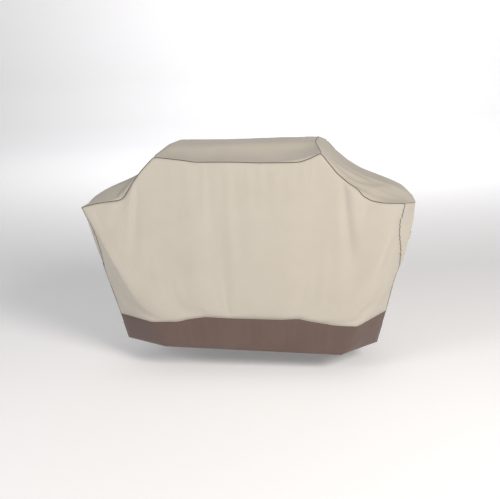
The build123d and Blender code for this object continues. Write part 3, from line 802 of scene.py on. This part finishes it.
def drawcord_piece():
    """The drawcord: one loop through the hem's casing, with both ends out at the middle of the back."""
    curve = bpy.data.curves.new("drawcord", "CURVE")
    curve.dimensions = "3D"
    curve.bevel_depth = 0.002
    curve.bevel_resolution = 3
    curve.use_fill_caps = True
    route = [(x * MM, y * MM, h * MM + HEM_Z) for x, y, h in CORD_ROUTE]
    spline = curve.splines.new("NURBS")
    spline.points.add(len(route) - 1)
    for target, point in zip(spline.points, route):
        target.co = (*point, 1.0)
    spline.order_u = 3
    spline.use_endpoint_u = True
    obj = bpy.data.objects.new("drawcord", curve)
    bpy.context.scene.collection.objects.link(obj)
    curve.materials.append(material("Braided cord", braided_cord))
    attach(obj, BODY)
    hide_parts("hem_drawcord")


# ---------------------------------------------------------------- stage
def area_light(name, place, target, size, power, colour="ffffff"):
    light = bpy.data.lights.new(name, "AREA")
    light.shape = "DISK"
    light.size = size
    light.energy = power
    light.color = linear(colour)[:3]
    obj = bpy.data.objects.new(name, light)
    bpy.context.scene.collection.objects.link(obj)
    obj.location = place
    obj.rotation_euler = (Vector(target) - Vector(place)).to_track_quat("-Z", "Y").to_euler()


def add_floor():
    """White paper under the cover that curves up far behind it."""
    floor_z = HEM_Z - FLOOR_GAP
    bm = bmesh.new()
    corners = [bm.verts.new((x, -12, floor_z)) for x in (-16, 16)]
    edge = bm.edges.new(corners)
    run = [(0, 24, 0), (0, 1.5, 0.3), (0, 1.2, 1.0), (0, 0.5, 2.0), (0, 0, 9)]
    for step in run:
        made = bmesh.ops.extrude_edge_only(bm, edges=[edge])["geom"]
        bmesh.ops.translate(bm, vec=step, verts=[g for g in made if isinstance(g, bmesh.types.BMVert)])
        edge = next(g for g in made if isinstance(g, bmesh.types.BMEdge))
    bmesh.ops.recalc_face_normals(bm, faces=bm.faces[:])
    for face in bm.faces:
        if face.normal.z < 0 or face.normal.y > 0.1:
            face.normal_flip()
    mesh = bpy.data.meshes.new("paper")
    bm.to_mesh(mesh)
    bm.free()
    for polygon in mesh.polygons:
        polygon.use_smooth = True
    mesh.materials.append(material("Seamless paper", seamless_paper))
    obj = bpy.data.objects.new("paper", mesh)
    bpy.context.scene.collection.objects.link(obj)


def add_camera():
    data = bpy.data.cameras.new("view")
    data.lens = 55.2
    data.sensor_width = 36
    camera = bpy.data.objects.new("view", data)
    bpy.context.scene.collection.objects.link(camera)
    yaw, pitch, roll = (math.radians(a) for a in (8.66, 13.94, -2.5))
    forward = Vector((-math.sin(yaw) * math.cos(pitch), math.cos(yaw) * math.cos(pitch), -math.sin(pitch)))
    right = Vector((math.cos(yaw), math.sin(yaw), 0))
    up = right.cross(forward)
    side = right * math.cos(roll) + up * math.sin(roll)
    top = -right * math.sin(roll) + up * math.cos(roll)
    turn = Matrix((side, top, -forward)).transposed().to_4x4()
    camera.matrix_world = Matrix.Translation(CAMERA_PLACE) @ turn
    bpy.context.scene.camera = camera


def set_stage():
    add_floor()
    add_camera()
    scene = bpy.context.scene
    scene.view_settings.view_transform = "Standard"
    world = bpy.data.worlds.new("studio")
    scene.world = world
    world.use_nodes = True
    world.node_tree.nodes.clear()
    sky = node(world.node_tree, "ShaderNodeBackground",
               {"Color": linear("ffffff"), "Strength": WORLD_STRENGTH})
    node(world.node_tree, "ShaderNodeOutputWorld", {"Surface": sky.outputs[0]})
    middle = (0, 0, HEM_Z + 0.5)
    area_light("key", (4.2, -4.6, 2.6), middle, 2.4, KEY_POWER, "fffaf2")
    area_light("fill", (-4.6, -4.2, 1.8), middle, 2.6, FILL_POWER)
    area_light("back", (0.0, 6.5, 6.0), (0, 13, 2), 6.0, BACK_POWER)


# ---------------------------------------------------------------- add-on
class GrillCoverSizes(PropertyGroup):
    """Sizes of the sewn details."""
    piping_radius: FloatProperty(name="Piping radius", description="Radius of the piped seams",
                                 default=0.0019, min=0.0005, max=0.005, unit="LENGTH")
    cross_seam_radius: FloatProperty(name="Cross seam radius",
                                     description="Radius of the seams across the gusset",
                                     default=0.0009, min=0.0003, max=0.003, unit="LENGTH")
    band_roll_radius: FloatProperty(name="Band roll radius",
                                    description="Radius of the fold above the hem band",
                                    default=0.0016, min=0.0005, max=0.005, unit="LENGTH")
    cloth_spacing: FloatProperty(name="Cloth spacing",
                                 description="Distance between points of the draped cloth",
                                 default=0.014, min=0.01, max=0.05, unit="LENGTH")


class GrillCoverFinish(PropertyGroup):
    """Colours of the cloths and tapes."""
    cloth: FloatVectorProperty(name="Cover cloth", description="Colour of the pale canvas",
                               default=linear(CLOTH_HEX), size=4, min=0, max=1, subtype="COLOR")
    cloth_shade: FloatVectorProperty(name="Cover cloth shade", description="Darker tone in the pale canvas",
                                     default=linear(CLOTH_SHADE_HEX), size=4, min=0, max=1, subtype="COLOR")
    band: FloatVectorProperty(name="Hem band", description="Colour of the dark hem band",
                              default=linear(BAND_HEX), size=4, min=0, max=1, subtype="COLOR")
    band_shade: FloatVectorProperty(name="Hem band shade", description="Darker tone in the hem band",
                                    default=linear(BAND_SHADE_HEX), size=4, min=0, max=1, subtype="COLOR")
    binding: FloatVectorProperty(name="Piping", description="Colour of the piped seams",
                                 default=linear(BINDING_HEX), size=4, min=0, max=1, subtype="COLOR")
    webbing: FloatVectorProperty(name="Webbing", description="Colour of the strap webbing",
                                 default=linear(WEBBING_HEX), size=4, min=0, max=1, subtype="COLOR")


def sizes():
    return bpy.context.scene.grill_cover_sizes


def finish():
    return bpy.context.scene.grill_cover_finish


class GRILLCOVER_OT_panels(Operator):
    """Drape the cloth and cut it into its eleven panels"""
    bl_idname = "grillcover.panels"
    bl_label = "Cloth panels"

    def execute(self, context):
        panel_pieces()
        return {"FINISHED"}


class GRILLCOVER_OT_seams(Operator):
    """Pipe the seams along the edges of the panels"""
    bl_idname = "grillcover.seams"
    bl_label = "Piped seams"

    def execute(self, context):
        seam_pieces()
        return {"FINISHED"}


class GRILLCOVER_OT_casing(Operator):
    """Fold the hem in to make the casing of the drawcord"""
    bl_idname = "grillcover.casing"
    bl_label = "Hem casing"

    def execute(self, context):
        casing_piece()
        return {"FINISHED"}


class GRILLCOVER_OT_drawcord(Operator):
    """Run the drawcord through the casing"""
    bl_idname = "grillcover.drawcord"
    bl_label = "Drawcord"

    def execute(self, context):
        drawcord_piece()
        return {"FINISHED"}


class GRILLCOVER_OT_sewn(Operator):
    """Sew on the handles, the leg straps and the vents"""
    bl_idname = "grillcover.sewn"
    bl_label = "Handles, straps and vents"

    def execute(self, context):
        sewn_parts()
        return {"FINISHED"}


class GRILLCOVER_OT_hardware(Operator):
    """Give the buckles, the cord lock and the grommet their finishes"""
    bl_idname = "grillcover.hardware"
    bl_label = "Hardware finishes"

    def execute(self, context):
        hardware_finish()
        return {"FINISHED"}


class GRILLCOVER_OT_stage(Operator):
    """Set the paper, the lights and the camera"""
    bl_idname = "grillcover.stage"
    bl_label = "Stage"

    def execute(self, context):
        set_stage()
        return {"FINISHED"}


OPERATORS = [GRILLCOVER_OT_panels, GRILLCOVER_OT_seams, GRILLCOVER_OT_casing, GRILLCOVER_OT_drawcord,
             GRILLCOVER_OT_sewn, GRILLCOVER_OT_hardware, GRILLCOVER_OT_stage]


class GRILLCOVER_PT_panel(Panel):
    bl_idname = "GRILLCOVER_PT_panel"
    bl_label = "Grill Cover"
    bl_space_type = "VIEW_3D"
    bl_region_type = "UI"
    bl_category = "Grill Cover"

    def draw(self, context):
        for group in (context.scene.grill_cover_sizes, context.scene.grill_cover_finish):
            for name in group.__annotations__:
                self.layout.prop(group, name)
        for operator in OPERATORS:
            self.layout.operator(operator.bl_idname)


CLASSES = [GrillCoverSizes, GrillCoverFinish, *OPERATORS, GRILLCOVER_PT_panel]


def register():
    for kind in CLASSES:
        bpy.utils.register_class(kind)
    bpy.types.Scene.grill_cover_sizes = PointerProperty(type=GrillCoverSizes)
    bpy.types.Scene.grill_cover_finish = PointerProperty(type=GrillCoverFinish)


def unregister():
    del bpy.types.Scene.grill_cover_finish
    del bpy.types.Scene.grill_cover_sizes
    for kind in reversed(CLASSES):
        bpy.utils.unregister_class(kind)


def main():
    register()
    bpy.ops.grillcover.panels()
    bpy.ops.grillcover.seams()
    bpy.ops.grillcover.casing()
    bpy.ops.grillcover.drawcord()
    bpy.ops.grillcover.sewn()
    bpy.ops.grillcover.hardware()
    bpy.ops.grillcover.stage()


if __name__ == "__main__":
    main()
